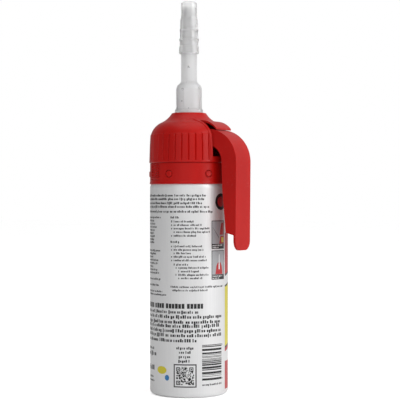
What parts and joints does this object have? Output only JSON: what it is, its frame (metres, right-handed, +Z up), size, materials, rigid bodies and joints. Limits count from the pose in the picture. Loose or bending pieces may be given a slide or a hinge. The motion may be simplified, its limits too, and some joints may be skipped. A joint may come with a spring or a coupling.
{
  "type": "pressurised caulk tube",
  "caption": "Pressurised caulk can with a red trigger collar, a translucent nozzle and a push-on nozzle cap; pulling the lever presses the valve.",
  "frame": {"origin": "middle of the can's foot, on the surface it stands on", "axes": "+Z up along the can's axis, +X towards the trigger lever"},
  "size_m": [0.0691, 0.0542, 0.2664],
  "materials": {
    "printed_can": "aluminium can, printed in pale silver grey all round",
    "tinplate": "bright tinplate",
    "black_rubber": "matt moulded rubber",
    "white_plastic": "moulded white plastic",
    "red_plastic": "satin moulded red plastic",
    "translucent_plastic": "natural translucent plastic",
    "pearl_plastic": "natural glossy plastic"
  },
  "bodies": {
    "container": {"can": "printed_can", "base_plug": "black_rubber", "valve_cup": "tinplate", "cup_gasket": "black_rubber", "valve_grommet": "black_rubber", "collar_band": "red_plastic", "housing": "red_plastic"},
    "lever": {"trigger": "red_plastic"},
    "stem": {"valve_stem": "white_plastic", "nozzle_adapter": "white_plastic"},
    "spout": {"nozzle": "translucent_plastic"},
    "cover": {"nozzle_cap": "pearl_plastic"}
  },
  "joints": [
    {"name": "trigger_pull", "type": "hinge", "parent": "container", "child": "lever", "pos_m": [-0.0175, 0, 0.1705], "axis": [0, 1, 0], "range_deg": [0, 6.5], "stiffness_Nm_per_rad": 1.5, "springref_deg": -6.88},
    {"name": "stem_press", "type": "slide", "parent": "container", "child": "stem", "axis": [0, 0, -1], "range_m": [0, 0.002], "deforming": ["valve_grommet"]},
    {"name": "nozzle_turn", "type": "hinge", "parent": "stem", "child": "spout", "pos_m": [0, 0, 0.19], "axis": [0, 0, 1], "range_deg": [0, 270]},
    {"name": "cap_pull", "type": "slide", "parent": "spout", "child": "cover", "axis": [0, 0, 1], "range_m": [0, 0.04]}
  ],
  "couplings": [
    {"joint": "stem_press", "follows": "trigger_pull", "m_per_rad": 0.01762}
  ]
}
